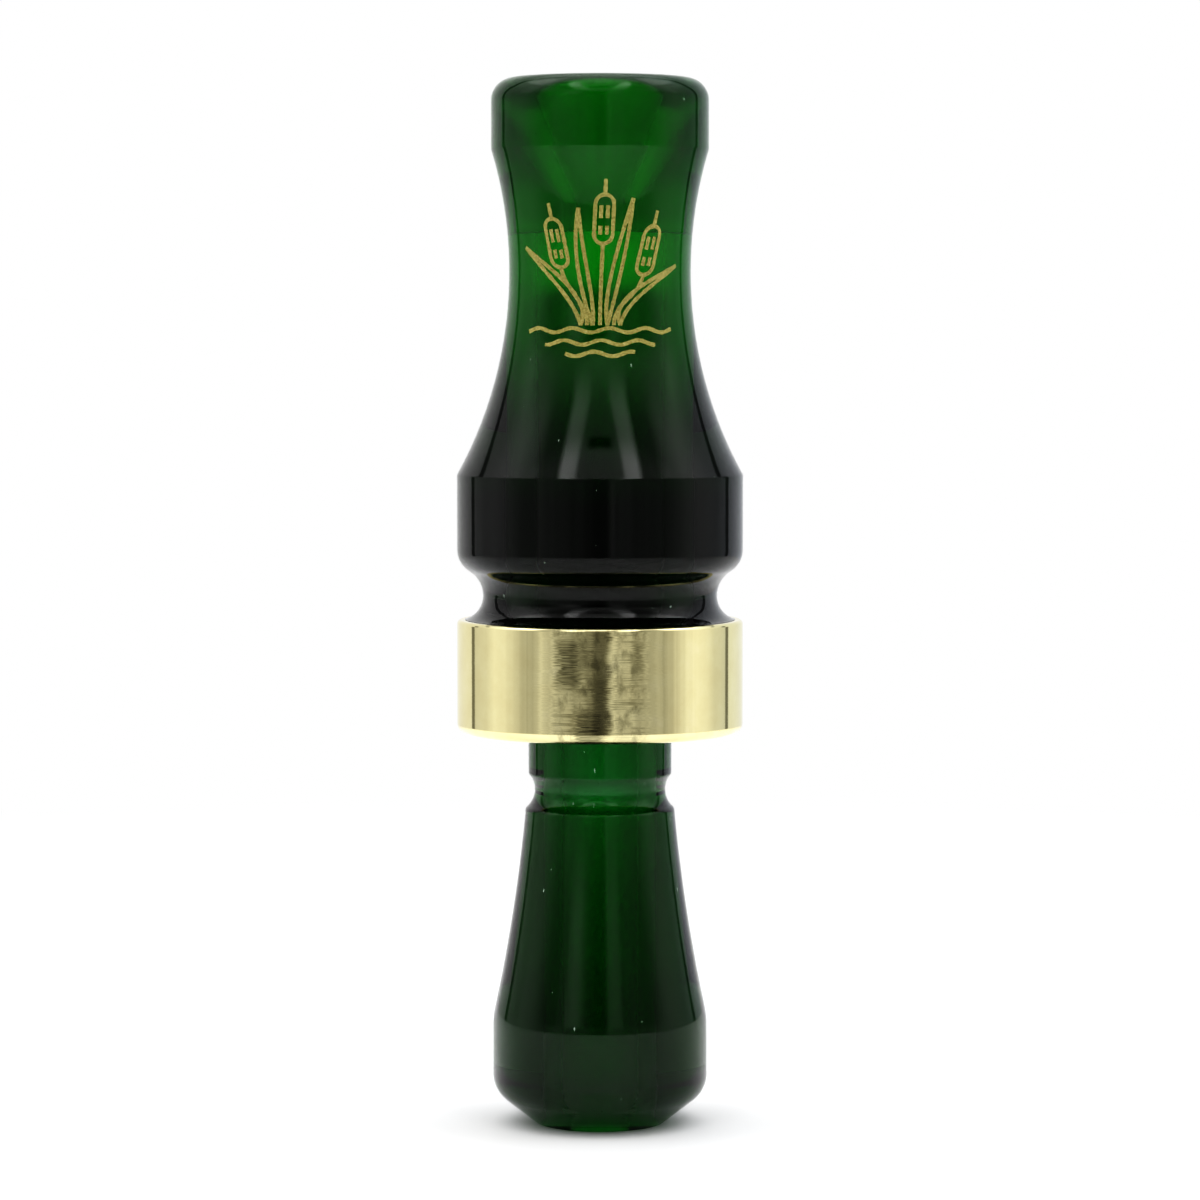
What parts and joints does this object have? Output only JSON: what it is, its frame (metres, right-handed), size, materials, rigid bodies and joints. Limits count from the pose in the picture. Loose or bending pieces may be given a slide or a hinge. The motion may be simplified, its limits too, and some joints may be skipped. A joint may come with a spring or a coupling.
{
  "type": "duck call",
  "caption": "Turned acrylic duck call: flared mouthpiece barrel with a brass band, plugged on an O-ring sealed insert whose tone board holds cork-wedged reeds.",
  "frame": {"origin": "centre of the insert's flat end face, on the call's axis", "axes": "+Z along the call's axis towards the mouthpiece; the tone board's deck and the reeds face -Y"},
  "size_m": [0.036, 0.036, 0.1315],
  "materials": {
    "barrel_acrylic": "polished clear green acrylic",
    "band_brass": "polished",
    "insert_acrylic": "polished clear green acrylic",
    "o_ring_rubber": "satin",
    "tone_board_plastic": "satin moulded",
    "reed_film": "translucent polyester film",
    "wedge_cork": "natural cork"
  },
  "bodies": {
    "insert": {"insert": "insert_acrylic", "tone_board": "tone_board_plastic", "cork_wedge": "wedge_cork"},
    "seals": {"lower_o_ring": "o_ring_rubber", "upper_o_ring": "o_ring_rubber"},
    "barrel": {"barrel": "barrel_acrylic", "band": "band_brass"},
    "lower_reed": {"lower_reed": "reed_film"},
    "upper_reed": {"upper_reed": "reed_film"}
  },
  "joints": [
    {"name": "barrel_turn", "type": "hinge", "parent": "insert", "child": "seals", "pos_m": [0, 0, 0.0578], "axis": [0, 0, 1], "continuous": true},
    {"name": "barrel_draw", "type": "slide", "parent": "seals", "child": "barrel", "axis": [0, 0, 1], "range_m": [0, 0.06]},
    {"name": "lower_reed_flex", "type": "hinge", "parent": "insert", "child": "lower_reed", "pos_m": [0, -0.00112, 0.08145], "axis": [-1, 0, 0], "range_deg": [-1, 2.6], "stiffness_Nm_per_rad": 0.008, "deforming": ["lower_reed"]},
    {"name": "upper_reed_flex", "type": "hinge", "parent": "insert", "child": "upper_reed", "pos_m": [0, -0.00147, 0.08145], "axis": [-1, 0, 0], "range_deg": [-1, 2.6], "stiffness_Nm_per_rad": 0.008, "deforming": ["upper_reed"]}
  ],
  "couplings": [
    {"joint": "upper_reed_flex", "follows": "lower_reed_flex", "ratio": 1}
  ]
}
